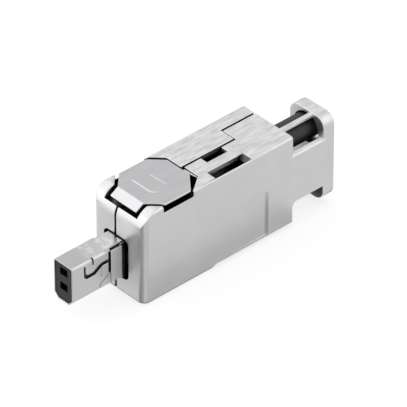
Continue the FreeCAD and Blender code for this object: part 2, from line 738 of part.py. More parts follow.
def makeSlider():
    """Latch slider: the button's wedge drives it forward, and its two fingers free the latch."""
    body = newPiece("latch_slider")
    nearSide = "d.plugY - k.fingerInner - d.fingerThick"
    addPad(body, "bridge", "XZ", nearSide, "2 * (k.fingerInner + d.fingerThick)", [
        ("k.sliderFront", "k.sliderLow"),
        ("k.ramp - k.sliderLow", "k.sliderLow"),
        ("k.ramp - k.sliderTop", "k.sliderTop"),
        ("k.sliderFront", "k.sliderTop"),
    ])
    low = "d.plugZ - d.fingerLow"
    high = "d.plugZ + d.fingerHigh"
    finger = [
        ("d.fingerTip", low),
        ("k.sliderFront + d.sliderPlate", low),
        ("k.sliderFront + d.sliderPlate", "k.sliderLow + d.over"),
        ("k.sliderFront", "k.sliderLow + d.over"),
        ("k.sliderFront", high),
        ("d.fingerTip", high),
    ]
    addPad(body, "nearFinger", "XZ", nearSide, "d.fingerThick", finger)
    addPad(body, "farFinger", "XZ", "d.plugY + k.fingerInner", "d.fingerThick", finger)
    return body


def makeCollar():
    """Collar that carries the plug's tongue, clamped between the halves by its inner flange."""
    body = newPiece("shield_collar")
    addPad(body, "collar", "YZ", "-d.collarFront", "d.collarFront - d.collarBack",
           tongueOutline("0", "(d.sheet + d.flapGap)"))
    addPad(body, "neck", "YZ", "-d.collarBack - d.over",
           "k.collarNeckEnd + d.collarBack + d.over",
           rectangle("d.plugY - k.neckHalf", "d.plugY + k.neckHalf",
                     "k.tongueLow + d.collarNeckInset - 2 * d.fit",
                     "k.tongueTop - d.collarNeckInset + 2 * d.fit"))
    flangeTop = "d.plugZ + k.openingHeight / 2 + d.collarLap"
    addPad(body, "innerFlange", "YZ", "d.endWall + d.fit", "d.collarFlange",
           rectangle("-k.flangeHalf", "k.flangeHalf",
                     "d.plugZ - k.openingHeight / 2 - d.collarLap", flangeTop))
    cutPocket(body, "bore", "YZ", "-d.collarFront - d.over",
              "d.collarFront + k.collarNeckEnd + 2 * d.over",
              rectangle("d.plugY - k.stemHalf - d.fit", "d.plugY + k.stemHalf + d.fit",
                        "k.stemLow - d.fit", "k.stemTop + d.fit"))
    for name, side in (("near", "-1"), ("far", "1")):
        inner = "d.plugY + %s * (k.fingerInner - 2 * d.fit)" % side
        outer = "d.plugY + %s * (k.fingerInner + d.fingerThick + 3 * d.fit)" % side
        cutPocket(body, name + "FingerSlot", "YZ", "d.endWall", "d.collarFlange + d.over",
                  rectangle(inner, outer, "d.plugZ - d.fingerLow - 4 * d.fit",
                            "d.plugZ + d.fingerHigh + 4 * d.fit"))
    room = "(d.sliderSpringRadius + d.sliderSpringWire)"
    cutPocket(body, "springNotch", "YZ", "d.endWall", "d.collarFlange + d.over",
              rectangle("d.plugY - " + room, "d.plugY + " + room,
                        "k.sliderSpringZ - " + room, flangeTop + " + d.over"))
    return body


def roundTongue(body, inset):
    """Bend of the sheet along the tongue's upper edges, as it runs at this inset."""
    inner = value(inset)
    half = value("d.tongueWidth") / 2 - inner
    top = value("k.tongueTop") - inner
    edges = []
    for y in (value("d.plugY") - half, value("d.plugY") + half):
        edges += edgesAlong(body.Tip.Shape, 0, y, top)
    addFillet(body, "bend", "d.sheetBend - (%s)" % inset, edges)


def makeInsert():
    """Black contact insert: fills the shell and reaches back through the collar."""
    body = newPiece("contact_insert")
    addPad(body, "tongue", "YZ", "d.insertInset - d.tongueReach",
           "d.tongueReach - d.shellEnd - d.insertInset", tongueOutline("(d.sheet + d.fit)"))
    roundTongue(body, "d.sheet + d.fit")
    addPad(body, "stem", "YZ", "-d.shellEnd - d.over",
           "d.shellEnd + k.collarNeckEnd + d.over",
           rectangle("d.plugY - k.stemHalf", "d.plugY + k.stemHalf", "k.stemLow", "k.stemTop"))
    for name, z in (("upper", "k.upperZ"), ("lower", "k.lowerZ")):
        cutPocket(body, name + "Hole", "YZ", "-d.tongueReach", "d.holeDepth",
                  rectangle("d.plugY - d.holeWidth / 2", "d.plugY + d.holeWidth / 2",
                            "%s - d.holeHeight / 2" % z, "%s + d.holeHeight / 2" % z))
        cutPocket(body, name + "BeamSlot", "YZ", "d.holeDepth - d.over - d.tongueReach",
                  "d.tongueReach + k.collarNeckEnd",
                  rectangle("d.plugY - d.contactThick / 2 - d.fit",
                            "d.plugY + d.contactThick / 2 + d.fit",
                            "%s - d.beamHeight / 2 - d.fit" % z,
                            "%s + d.beamHeight / 2 + d.fit" % z))
    return body


def makeContact(label, z, forkX, side):
    """Stamped contact: box receptacle in the tongue, flat beam, and a fork that cuts the wire."""
    body = newPiece(label)
    width = "(d.holeWidth / 2 - 2 * d.fit)"
    height = "(d.holeHeight / 2 - 2 * d.fit)"
    addPad(body, "receptacle", "YZ", "d.receptacleStart - d.tongueReach", "k.receptacleLength",
           rectangle("d.plugY - " + width, "d.plugY + " + width,
                     z + " - " + height, z + " + " + height))
    wall = "d.receptacleWall"
    receptacleEnd = "d.receptacleStart + k.receptacleLength"
    cutPocket(body, "mouth", "YZ", "-d.tongueReach", receptacleEnd + " - d.receptacleFloor",
              rectangle("d.plugY - %s + %s" % (width, wall), "d.plugY + %s - %s" % (width, wall),
                        "%s - %s + %s" % (z, height, wall), "%s + %s - %s" % (z, height, wall)))
    addPad(body, "beam", "XZ", "d.plugY - d.contactThick / 2", "d.contactThick",
           rectangle(receptacleEnd + " - d.over - d.tongueReach", forkX + " + d.contactThick",
                     z + " - d.beamHeight / 2", z + " + d.beamHeight / 2"))
    slot = "d.plugY + %s * d.wirePitch / 2" % side
    addPad(body, "fork", "YZ", forkX, "d.contactThick",
           rectangle(slot + " + %s * d.forkWidth / 2" % side,
                     "d.plugY - %s * d.contactThick / 2" % side,
                     z + " - d.beamHeight / 2", "k.forkTop"))
    cutPocket(body, "forkSlot", "YZ", forkX + " - d.over", "d.contactThick + 2 * d.over",
              rectangle(slot + " - d.forkSlot / 2", slot + " + d.forkSlot / 2",
                        "k.forkTop - d.forkSlotDepth", "k.forkTop + 1"))
    return body


def forkRoom(forkX, side):
    """Plan of the room that a contact's fork needs."""
    return rectangle(forkX + " - d.fit", forkX + " + d.contactThick + d.fit",
                     "d.plugY - %s * (d.contactThick / 2 + d.fit)" % side,
                     "d.plugY + %s * (d.wirePitch / 2 + d.forkWidth / 2 + d.fit)" % side)


def makeCarrier():
    """Black carrier that lines up the contacts and seats the wire cap."""
    body = newPiece("contact_carrier")
    low = "d.bottomWall + d.footRise + d.fit"
    addPad(body, "block", "YZ", "k.carrierStart", "k.carrierEnd - k.carrierStart",
           rectangle("-k.carrierHalf", "k.carrierHalf", low, "k.carrierTop"))
    addPad(body, "neck", "YZ", "k.collarNeckEnd + d.fit",
           "k.carrierStart - k.collarNeckEnd",
           rectangle("d.plugY - k.neckHalf", "d.plugY + k.neckHalf",
                     "k.tongueLow + d.fit", "k.carrierNeckTop"))
    floor = "k.lowerZ - d.beamHeight / 2 - d.fit"
    cutPocket(body, "beamSlot", "XY", floor, "k.carrierTop",
              rectangle("k.collarNeckEnd", "k.forkLowerX + d.contactThick + d.fit",
                        "d.plugY - d.contactThick / 2 - d.fit",
                        "d.plugY + d.contactThick / 2 + d.fit"))
    cutPocket(body, "upperForkSlot", "XY", "k.upperZ - d.beamHeight / 2 - d.fit",
              "k.carrierTop", forkRoom("k.forkUpperX", "-1"))
    cutPocket(body, "lowerForkSlot", "XY", floor, "k.carrierTop",
              forkRoom("k.forkLowerX", "1"))
    return body


def makeWireCap():
    """Cap that holds the two wires and presses them into the forks."""
    body = newPiece("wire_cap")
    low = "k.carrierTop + d.fit"
    addPad(body, "block", "XY", low, "k.capTop - (%s)" % low,
           rectangle("k.capStart", "k.carrierEnd", "-k.capHalf", "k.capHalf"))
    wires = []
    for side in ("-1", "1"):
        wires.append(("d.plugY + %s * d.wirePitch / 2" % side, "k.wireZ", "d.wireRadius"))
    cutPocket(body, "wireHoles", "YZ", "k.capStart + d.capFace", "k.carrierEnd - k.capStart",
              *wires)
    for name, forkX, side in (("upper", "k.forkUpperX", "-1"), ("lower", "k.forkLowerX", "1")):
        cutPocket(body, name + "ForkRoom", "XY", low + " - d.over",
                  "k.forkTop + d.forkHeadroom - (%s)" % low, forkRoom(forkX, side))
    return body


# Side views on the tongue: distance behind its tip, and height above its underside.
latchSlit = [
    (2.45, 5.9), (2.45, 4.6), (2.85, 4.3), (3.85, 4.3), (4.75, 4.9), (5.4, 5.15),
    (7.2, 5.15), (7.2, 4.55), (5.65, 4.55), (5.1, 4.22), (4.15, 3.65), (2.65, 3.65),
    (2.15, 4.15), (2.15, 5.9),
]
latchBoss = [(5.35, 2.75), (6.5, 2.75), (6.5, 4.35), (5.75, 4.35), (5.35, 4.0)]
sideSeam = [(6.68, 2.5), (5.18, 1.64), (4.93, 0.95), (5.06, 0.95), (5.28, 1.56), (6.75, 2.4)]
tabNotch = [(3.7, 5.5), (3.95, 5.5), (3.95, 6.8), (3.7, 6.8)]


def sideShape(points):
    """Outline on the tongue's side, as expressions."""
    return [("%g - d.tongueReach" % along, "k.tongueLow + %g" % up) for along, up in points]


def makeShell():
    """Folded sheet shell round the tongue, with a latch tab cut free by an S-shaped slit."""
    body = newPiece("plug_shell")
    addPad(body, "wrap", "YZ", "-d.tongueReach", "d.tongueReach - d.shellEnd",
           tongueOutline("0"))
    roundTongue(body, "0 * d.sheet")
    cutPocket(body, "inside", "YZ", "-d.tongueReach - d.over", "d.tongueReach + 2 * d.over",
              tongueOutline("d.sheet"))
    roundTongue(body, "d.sheet")
    addPad(body, "topFlap", "XY", "k.tongueTop - d.sheet", "d.sheet",
           rectangle("-d.shellEnd - d.join", "d.endWall - 2 * d.fit",
                     "d.plugY - d.tongueWidth / 2 + d.sheetBend",
                     "d.plugY + d.tongueWidth / 2 - d.sheetBend"))
    near = "d.plugY - d.tongueWidth / 2"
    far = "d.plugY + d.tongueWidth / 2"
    for name, start in (("near", near + " - d.bossRise"), ("far", far + " - d.sheet / 2")):
        addPad(body, name + "Boss", "XZ", start, "d.bossRise + d.sheet / 2",
               sideShape(latchBoss))
    for name, start in (("near", near + " - d.over"), ("far", far + " - d.sheet - d.over")):
        through = "d.sheet + 2 * d.over"
        cutPocket(body, name + "Slit", "XZ", start, through, sideShape(latchSlit))
        cutPocket(body, name + "Seam", "XZ", start, through, sideShape(sideSeam))
        cutPocket(body, name + "EndSlot", "XZ", start, through,
                  rectangle("-d.shellEnd - d.endSlot", "0 * d.endSlot",
                            "k.tongueLow + d.endSlotLow", "k.tongueTop - d.sheet - d.over"))
    for name, start in (("near", near + " - d.over"), ("far", far + " - d.sheetBend")):
        cutPocket(body, name + "Notch", "XZ", start, "d.sheetBend + d.over",
                  sideShape(tabNotch))
    return body


def makeClip():
    """Springy cradle that joins the cable's screen to the housing."""
    body = newPiece("shield_clip")
    addPad(body, "ring", "YZ", "k.clipStart", "d.clipLength",
           ("d.cableY", "k.cableZ", "d.sleeveRadius + d.sheet + d.fit"),
           ("d.cableY", "k.cableZ", "d.sleeveRadius + d.fit"))
    cutPocket(body, "openTop", "YZ", "k.clipStart - d.over", "d.clipLength + 2 * d.over",
              rectangle("d.cableY - k.bodyWidth", "d.cableY + k.bodyWidth",
                        "k.cableZ + d.clipRise", "k.cableZ + k.bodyHeight"))
    return body


def makeSleeve():
    """Black sleeve that guides the cable through the neck."""
    body = newPiece("cable_sleeve")
    addPad(body, "tube", "YZ", "k.sleeveStart",
           "k.plateStart + d.plateThick - d.sleeveInset - k.sleeveStart",
           ("d.cableY", "k.cableZ", "d.sleeveRadius"),
           ("d.cableY", "k.cableZ", "k.sleeveBore"))
    return body


def makeSpring(label, radius, wire, turns, length, base, lying):
    """Coil spring of half turns that each climb half a pitch, its wire drawn eight-sided."""
    climb = "((%s) / %s / 4)" % (length, turns)
    section = doc.addObject("Part::RegularPolygon", label + "Wire")
    section.Polygon = 8
    section.setExpression("Circumradius", wire + " / 2")
    section.setExpression("Placement.Base.x", "sqrt(%s ^ 2 + %s ^ 2)" % (radius, climb))
    section.Placement.Rotation = FreeCAD.Rotation(FreeCAD.Vector(1, 0, 0), 90)
    halves = []
    for number in range(2 * int(value(turns))):
        near = number % 2
        half = doc.addObject("Part::Revolution", "%sHalf%d" % (label, number))
        half.Source = section
        half.Solid = True
        half.Axis = FreeCAD.Vector(0, 0, 1)
        half.Angle = 180
        slope = math.degrees(math.atan(value(climb) / value(radius)))
        tilt = FreeCAD.Rotation(FreeCAD.Vector(0, 1, 0), -slope if near else slope)
        turn = FreeCAD.Rotation(FreeCAD.Vector(0, 0, 1), 180 * near)
        half.Placement.Rotation = tilt.multiply(turn)
        half.setExpression("Placement.Base.z", "%d * %s" % (2 * number + 1, climb))
        halves.append(half)
    coil = doc.addObject("Part::MultiFuse", label)
    coil.Label = label
    coil.Shapes = halves
    if lying:
        coil.Placement.Rotation = FreeCAD.Rotation(FreeCAD.Vector(0, 1, 0), 90)
    x, y, z = base
    coil.setExpression("Placement.Base.x", x + " - k.middle")
    coil.setExpression("Placement.Base.y", y)
    coil.setExpression("Placement.Base.z", z)
    doc.recompute()
    return coil


def makeSprings():
    seat = "k.carrierTop + d.buttonSpringWire / 2 + d.springSeat"
    roof = "k.capLow - d.springRoof - d.buttonSpringWire / 2 - d.springSeat"
    front = "d.endWall + d.sliderSpringWire / 2 + d.springSeat"
    back = "k.sliderFront - d.sliderSpringWire / 2 - d.springSeat"
    return [
        makeSpring("button_spring", "d.buttonSpringRadius", "d.buttonSpringWire",
                   "d.buttonSpringTurns", "%s - (%s)" % (roof, seat),
                   ("k.buttonSpringX", "0", seat), False),
        makeSpring("slider_spring", "d.sliderSpringRadius", "d.sliderSpringWire",
                   "d.sliderSpringTurns", "%s - (%s)" % (back, front),
                   (front, "d.plugY", "k.sliderSpringZ"), True),
    ]


pieces = [
    makeNearHalf(),
    makeFarHalf(),
    makeButton(),
    makeSlider(),
    makeCollar(),
    makeInsert(),
    makeContact("contact_upper", "k.upperZ", "k.forkUpperX", "-1"),
    makeContact("contact_lower", "k.lowerZ", "k.forkLowerX", "1"),
    makeCarrier(),
    makeWireCap(),
    makeShell(),
    makeClip(),
    makeSleeve(),
] + makeSprings()

doc.recompute()
for item in doc.Objects:
    if "Invalid" in item.State or "Error" in item.State:
        raise ValueError("%s is not built: %s" % (item.Label, item.State))
for piece in pieces:
    if piece.Shape.isNull() or not piece.Shape.isValid() or piece.Shape.Volume <= 0:
        raise ValueError("%s has no sound solid" % piece.Label)
    piece.Shape.exportStep("parts/%s.step" % piece.Label)
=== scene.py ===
import math

import bpy
from mathutils import Matrix, Vector

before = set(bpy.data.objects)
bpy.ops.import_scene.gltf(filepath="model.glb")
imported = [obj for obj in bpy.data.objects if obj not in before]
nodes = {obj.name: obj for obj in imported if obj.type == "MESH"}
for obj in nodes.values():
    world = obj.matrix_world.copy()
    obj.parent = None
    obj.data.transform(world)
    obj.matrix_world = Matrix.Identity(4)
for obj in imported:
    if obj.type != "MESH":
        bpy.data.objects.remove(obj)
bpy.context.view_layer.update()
mm = 0.001
print("frame loaded with %d pieces" % len(nodes))


def linearColour(hexText):
    # sRGB hex to the linear colour that a shader wants
    channels = []
    for start in (1, 3, 5):
        c = int(hexText[start:start + 2], 16) / 255
        channels.append(c / 12.92 if c <= 0.04045 else ((c + 0.055) / 1.055) ** 2.4)
    return (*channels, 1)


def addNode(tree, kind, settings=None, links=None):
    # settings are the node's own fields or its sockets, by name or number; links feed sockets
    node = tree.nodes.new(kind)
    for name, value in (settings or {}).items():
        if isinstance(name, str) and hasattr(node, name):
            setattr(node, name, value)
        else:
            node.inputs[name].default_value = value
    for name, source in (links or {}).items():
        tree.links.new(source, node.inputs[name])
    return node


def newMaterial(name):
    material = bpy.data.materials.new(name)
    material.use_nodes = True
    material.node_tree.nodes.clear()
    return material, material.node_tree


def perMm(size):
    # noise scale whose features are about size millimetres apart
    return 1 / (size * mm)


def dressNode(node, material):
    piece = nodes[node]
    piece.data.materials.clear()
    piece.data.materials.append(material)


# What the finishes share: samples that find a gap to paint shade in, the range in which most of a
# noise lies, how steeply a face looks up before it counts as a top, and where a spot has faded out
# beside its box.
shared = {
    "gapSamples": 12,
    "noiseLow": 0.3,
    "noiseHigh": 0.7,
    "topStart": 0.93,
    "topFull": 0.99,
    "boxEnd": 1.15,
}


def paintShadeInGaps(tree, tint, look):
    # painted shade: slots and seams are coloured near black where walls stand close
    openness = addNode(tree, "ShaderNodeAmbientOcclusion",
                       {"samples": shared["gapSamples"], "Distance": look["gapMm"] * mm})
    clear = addNode(tree, "ShaderNodeMapRange",
                    {"interpolation_type": "SMOOTHSTEP", "From Min": look["gapDark"],
                     "From Max": look["gapClear"]},
                    {"Value": openness.outputs["AO"]})
    return addNode(tree, "ShaderNodeMixRGB", {"Color1": linearColour(look["paintedGapShade"])},
                   {"Fac": clear.outputs[0], "Color2": tint.outputs[0]})


def upwardFaces(tree):
    # 1 on faces that look straight up, 0 on bevels and sides
    normal = addNode(tree, "ShaderNodeSeparateXYZ", None,
                     {0: addNode(tree, "ShaderNodeNewGeometry").outputs["Normal"]})
    return addNode(tree, "ShaderNodeMapRange",
                   {"From Min": shared["topStart"], "From Max": shared["topFull"]},
                   {"Value": normal.outputs["Z"]}).outputs[0]


def spotMask(tree, place, spot):
    # 1 in the core of the spot's box, fading to 0 just outside it; its corners are in mm
    low, high = (Vector(corner) * mm for corner in spot["box"])
    offset = addNode(tree, "ShaderNodeVectorMath", {"operation": "SUBTRACT", 1: (low + high) / 2},
                     {0: place})
    share = addNode(tree, "ShaderNodeVectorMath", {"operation": "DIVIDE", 1: (high - low) / 2},
                    {0: offset.outputs[0]})
    size = addNode(tree, "ShaderNodeVectorMath", {"operation": "ABSOLUTE"}, {0: share.outputs[0]})
    axes = addNode(tree, "ShaderNodeSeparateXYZ", None, {0: size.outputs[0]})
    most = addNode(tree, "ShaderNodeMath", {"operation": "MAXIMUM"},
                   {0: axes.outputs["X"], 1: axes.outputs["Y"]})
    most = addNode(tree, "ShaderNodeMath", {"operation": "MAXIMUM"},
                   {0: most.outputs[0], 1: axes.outputs["Z"]})
    return addNode(tree, "ShaderNodeMapRange",
                   {"From Min": spot["core"], "From Max": shared["boxEnd"],
                    "To Min": 1.0, "To Max": 0.0},
                   {"Value": most.outputs[0]}).outputs[0]


# Metals. A spot of painted shade darkens what lies in its box: first the slanted end of the outer
# slot, painted dark as shade from its walls, then a painted shadow along the step at the end of
# the side's shallow panel.
dieCast = {
    "colour": "#e6e6e7",
    "darkColour": "#dcdcde",
    "topColour": "#ebebec",
    "topDarkColour": "#d2d2d5",
    # painted shade: the gap colour and its reach darken slots and seams
    "paintedGapShade": "#0c0c0d",
    "gapMm": 2.2,
    "gapDark": 0.32,
    "gapClear": 0.62,
    "roughness": 0.38,
    "roughSpread": 0.06,
    "cloudMm": 3.2,
    "streakMm": 0.5,
    "streakStretch": 0.22,
    "streakLow": 0.36,
    "streakHigh": 0.64,
    "grainMm": 0.28,
    "bump": 0.05,
    "bumpMm": 0.05,
    "paintedShadeSpots": [
        {"box": ((6.3, -4.98, 14.3), (7.32, -3.1, 15.34)), "core": 0.85, "colour": "#5c5c5e"},
        {"box": ((9.78, -5.5, -0.4), (10.48, -5.0, 8.0)), "core": 0.0, "colour": "#a4a4a6"},
    ],
    # painted highlight on the neck's ledge
    "ledgeHighlight": {"box": ((14.9, -5.6, 11.8), (21.3, -4.1, 12.25)), "core": 0.85,
              "colour": "#ffffff", "roughness": 0.9},
    "paintedGlints": [],
}


# the fade below shapes the ends of the thin white lines of painted highlight across the cap
glintFade = 0.4  # share of a rib's length, from its middle, where it starts to fade


def glintLine(tree, place, glint):
    # 1 on the middle of a thin line across the cap, 0 beside it and past its ends
    axes = addNode(tree, "ShaderNodeSeparateXYZ", None, {0: place})
    below = addNode(tree, "ShaderNodeMath", {"operation": "SUBTRACT", 0: glint["bendY"] * mm,
                                             "use_clamp": True}, {1: axes.outputs["Y"]})
    curve = addNode(tree, "ShaderNodeMath", {"operation": "POWER", 1: 2.0},
                    {0: below.outputs[0]})
    middle = addNode(tree, "ShaderNodeMath", {"operation": "MULTIPLY_ADD", 1: glint["bend"] / mm,
                                              2: glint["x"] * mm}, {0: curve.outputs[0]})
    offset = addNode(tree, "ShaderNodeMath", {"operation": "SUBTRACT"},
                     {0: axes.outputs["X"], 1: middle.outputs[0]})
    away = addNode(tree, "ShaderNodeMath", {"operation": "ABSOLUTE"}, {0: offset.outputs[0]})
    across = addNode(tree, "ShaderNodeMapRange",
                     {"From Max": glint["width"] * mm, "To Min": glint["share"], "To Max": 0.0},
                     {"Value": away.outputs[0]})
    low, high = glint["ends"]
    along = addNode(tree, "ShaderNodeMath",
                    {"operation": "SUBTRACT", 1: (low + high) / 2 * mm}, {0: axes.outputs["Y"]})
    reach = addNode(tree, "ShaderNodeMath", {"operation": "ABSOLUTE"}, {0: along.outputs[0]})
    within = addNode(tree, "ShaderNodeMapRange",
                     {"From Min": (high - low) / 2 * mm, "From Max": (high - low) * glintFade * mm},
                     {"Value": reach.outputs[0]})
    return addNode(tree, "ShaderNodeMath", {"operation": "MULTIPLY"},
                   {0: across.outputs[0], 1: within.outputs[0]}).outputs[0]


def satinNickelOnZinc(name, look):
    # die-cast zinc under satin nickel: smooth pale sides with faint clouds, while the tops, where
    # the metal met in the mould, show short light streaks along the plug
    material, tree = newMaterial(name)
    place = addNode(tree, "ShaderNodeTexCoord").outputs["Object"]
    clouds = addNode(tree, "ShaderNodeTexNoise", {"Scale": perMm(look["cloudMm"]), "Detail": 3.0},
                     {"Vector": place})
    side = addNode(tree, "ShaderNodeMixRGB",
                   {"Color1": linearColour(look["darkColour"]),
                    "Color2": linearColour(look["colour"])},
                   {"Fac": clouds.outputs["Fac"]})
    along = addNode(tree, "ShaderNodeMapping", {"Scale": (look["streakStretch"], 1, 1)},
                    {"Vector": place})
    streaks = addNode(tree, "ShaderNodeTexNoise",
                      {"Scale": perMm(look["streakMm"]), "Detail": 5.0, "Roughness": 0.6},
                      {"Vector": along.outputs[0]})
    streaky = addNode(tree, "ShaderNodeMapRange",
                      {"From Min": look["streakLow"], "From Max": look["streakHigh"]},
                      {"Value": streaks.outputs["Fac"]})
    top = addNode(tree, "ShaderNodeMixRGB",
                  {"Color1": linearColour(look["topDarkColour"]),
                   "Color2": linearColour(look["topColour"])},
                  {"Fac": streaky.outputs[0]})
    tint = addNode(tree, "ShaderNodeMixRGB", None,
                   {"Fac": upwardFaces(tree), "Color1": side.outputs[0],
                    "Color2": top.outputs[0]})
    # painted shade in each spot's box
    for spot in look["paintedShadeSpots"]:
        tint = addNode(tree, "ShaderNodeMixRGB", {"Color2": linearColour(spot["colour"])},
                       {"Fac": spotMask(tree, place, spot), "Color1": tint.outputs[0]})
    paintedGlints = None
    for glint in look["paintedGlints"]:
        mask = glintLine(tree, place, glint)
        paintedGlints = mask if paintedGlints is None else addNode(
            tree, "ShaderNodeMath", {"operation": "MAXIMUM"}, {0: paintedGlints, 1: mask}).outputs[0]
    if paintedGlints is not None:
        # painted highlights: thin white lines across the cap stand in for the glints of low ribs
        tint = addNode(tree, "ShaderNodeMixRGB", {"Color2": linearColour(look["glintColour"])},
                       {"Fac": paintedGlints, "Color1": tint.outputs[0]})
    rough = addNode(tree, "ShaderNodeMapRange",
                    {"From Min": shared["noiseLow"], "From Max": shared["noiseHigh"],
                     "To Min": look["roughness"] - look["roughSpread"] / 2,
                     "To Max": look["roughness"] + look["roughSpread"] / 2},
                    {"Value": streaks.outputs["Fac"]})
    grain = addNode(tree, "ShaderNodeTexNoise",
                    {"Scale": perMm(look["grainMm"]), "Detail": 3.0}, {"Vector": place})
    bump = addNode(tree, "ShaderNodeBump",
                   {"Strength": look["bump"], "Distance": look["bumpMm"] * mm},
                   {"Height": grain.outputs["Fac"]})
    # painted shade: the tint turns near black where walls stand close
    tintWithPaintedLight = paintShadeInGaps(tree, tint, look)
    if look["ledgeHighlight"]:
        # painted highlight: the neck's upper edge is painted dull white over the gap shade, bright
        # although the sleeve stands close
        ledgeHighlight = spotMask(tree, place, look["ledgeHighlight"])
        tintWithPaintedLight = addNode(tree, "ShaderNodeMixRGB",
                       {"Color2": linearColour(look["ledgeHighlight"]["colour"])},
                       {"Fac": ledgeHighlight, "Color1": tintWithPaintedLight.outputs[0]})
        rough = addNode(tree, "ShaderNodeMapRange", {"To Max": look["ledgeHighlight"]["roughness"]},
                        {"Value": ledgeHighlight, "To Min": rough.outputs[0]})
    shader = addNode(tree, "ShaderNodeBsdfPrincipled", {"Metallic": 1.0},
                     {"Base Color": tintWithPaintedLight.outputs[0], "Roughness": rough.outputs[0],
                      "Normal": bump.outputs[0]})
    addNode(tree, "ShaderNodeOutputMaterial", None, {"Surface": shader.outputs[0]})
    return material


# The cap's flat top is coloured a shade darker than its bevels. Each painted glint line runs along
# Y from one end to the other in mm, at x, and bends back toward the cable below the place bendY.
buttonLook = {
    **dieCast,
    "topColour": "#cbcbcd",
    "topDarkColour": "#c3c3c5",
    "roughness": 0.40,
    "streakMm": 1.4,
    "grainMm": 0.2,
    "bump": 0.03,
    "paintedShadeSpots": [],
    "ledgeHighlight": None,
    "glintColour": "#ffffff",
    "paintedGlints": [
        {"x": -8.45, "ends": (-2.3, 2.7), "bendY": -1.1, "bend": 0.8, "width": 0.2, "share": 0.95},
        {"x": -5.75, "ends": (-1.7, 1.9), "bendY": 1.9, "bend": 0.02, "width": 0.17, "share": 0.6},
    ],
}

# The boss highlight is painted: its noise turns bright between low and high, and share lies all
# over.
rolledSheet = {
    "colour": "#e0e0e0",
    "darkColour": "#cecece",
    "topColour": "#c2c2c2",
    "blotchMm": 1.6,
    "bossHighlight": {"box": ((-19.9, -1.8, 8.9), (-13.4, 2.3, 9.8)), "core": 0.6, "colour": "#e2e2e2",
             "highlightMm": 0.9, "low": 0.48, "high": 0.64, "share": 0.3},
    "smoothest": 0.25,
    "roughest": 0.38,
    "lineMm": 0.12,
    "lineStretch": 0.04,
    "bump": 0.04,
    "bumpMm": 0.02,
    # painted shade: the gap colour and its reach darken slots and seams
    "paintedGapShade": "#0c0c0d",
    "gapMm": 1.2,
    "gapDark": 0.30,
    "gapClear": 0.72,
}


def tinPlatedSheet(name, look):
    # rolled strip under bright tin: sharper gloss than the casting, with fine lines along X
    material, tree = newMaterial(name)
    place = addNode(tree, "ShaderNodeTexCoord").outputs["Object"]
    along = addNode(tree, "ShaderNodeMapping", {"Scale": (look["lineStretch"], 1, 1)},
                    {"Vector": place})
    lines = addNode(tree, "ShaderNodeTexNoise", {"Scale": perMm(look["lineMm"]), "Detail": 2.0},
                    {"Vector": along.outputs[0]})
    blotches = addNode(tree, "ShaderNodeTexNoise",
                       {"Scale": perMm(look["blotchMm"]), "Detail": 3.0}, {"Vector": place})
    tint = addNode(tree, "ShaderNodeMixRGB",
                   {"Color1": linearColour(look["darkColour"]),
                    "Color2": linearColour(look["colour"])},
                   {"Fac": blotches.outputs["Fac"]})
    tint = addNode(tree, "ShaderNodeMixRGB", {"Color2": linearColour(look["topColour"])},
                   {"Fac": upwardFaces(tree), "Color1": tint.outputs[0]})
    # painted highlight: the low bosses and creases pressed in the tongue's top are painted bright
    # in spots
    bossHighlight = look["bossHighlight"]
    highlightSpots = addNode(tree, "ShaderNodeTexNoise", {"Scale": perMm(bossHighlight["highlightMm"]), "Detail": 2.0},
                   {"Vector": place})
    highlightSpots = addNode(tree, "ShaderNodeMapRange",
                   {"From Min": bossHighlight["low"], "From Max": bossHighlight["high"], "To Min": bossHighlight["share"]},
                   {"Value": highlightSpots.outputs["Fac"]})
    highlightSpots = addNode(tree, "ShaderNodeMath", {"operation": "MULTIPLY"},
                   {0: highlightSpots.outputs[0], 1: spotMask(tree, place, bossHighlight)})
    tint = addNode(tree, "ShaderNodeMixRGB", {"Color2": linearColour(bossHighlight["colour"])},
                   {"Fac": highlightSpots.outputs[0], "Color1": tint.outputs[0]})
    rough = addNode(tree, "ShaderNodeMapRange",
                    {"From Min": shared["noiseLow"], "From Max": shared["noiseHigh"],
                     "To Min": look["smoothest"], "To Max": look["roughest"]},
                    {"Value": blotches.outputs["Fac"]})
    bump = addNode(tree, "ShaderNodeBump",
                   {"Strength": look["bump"], "Distance": look["bumpMm"] * mm},
                   {"Height": lines.outputs["Fac"]})
    # painted shade: the tint turns near black where walls stand close
    tintWithPaintedLight = paintShadeInGaps(tree, tint, look)
    shader = addNode(tree, "ShaderNodeBsdfPrincipled", {"Metallic": 1.0},
                     {"Base Color": tintWithPaintedLight.outputs[0], "Roughness": rough.outputs[0],
                      "Normal": bump.outputs[0]})
    addNode(tree, "ShaderNodeOutputMaterial", None, {"Surface": shader.outputs[0]})
    return material


# Thin gold over stamped brass is warm and fairly bright, and stainless spring wire is mid grey.
# Both carry fine soft marks of the tool that drew them.
goldOnBrass = {
    "darkColour": "#cfa24a",
    "colour": "#e3bf6c",
    "markMm": 0.4,
    "markDetail": 3.0,
    "roughness": 0.28,
}
springWire = {
    "darkColour": "#8f9092",
    "colour": "#b4b5b7",
    "markMm": 0.15,
    "markDetail": 2.0,
    "roughness": 0.3,
}


def drawnMetal(name, look):
    material, tree = newMaterial(name)
    place = addNode(tree, "ShaderNodeTexCoord").outputs["Object"]
    marks = addNode(tree, "ShaderNodeTexNoise",
                    {"Scale": perMm(look["markMm"]), "Detail": look["markDetail"]},
                    {"Vector": place})
    tint = addNode(tree, "ShaderNodeMixRGB",
                   {"Color1": linearColour(look["darkColour"]),
                    "Color2": linearColour(look["colour"])},
                   {"Fac": marks.outputs["Fac"]})
    shader = addNode(tree, "ShaderNodeBsdfPrincipled",
                     {"Metallic": 1.0, "Roughness": look["roughness"]},
                     {"Base Color": tint.outputs[0]})
    addNode(tree, "ShaderNodeOutputMaterial", None, {"Surface": shader.outputs[0]})
    return material


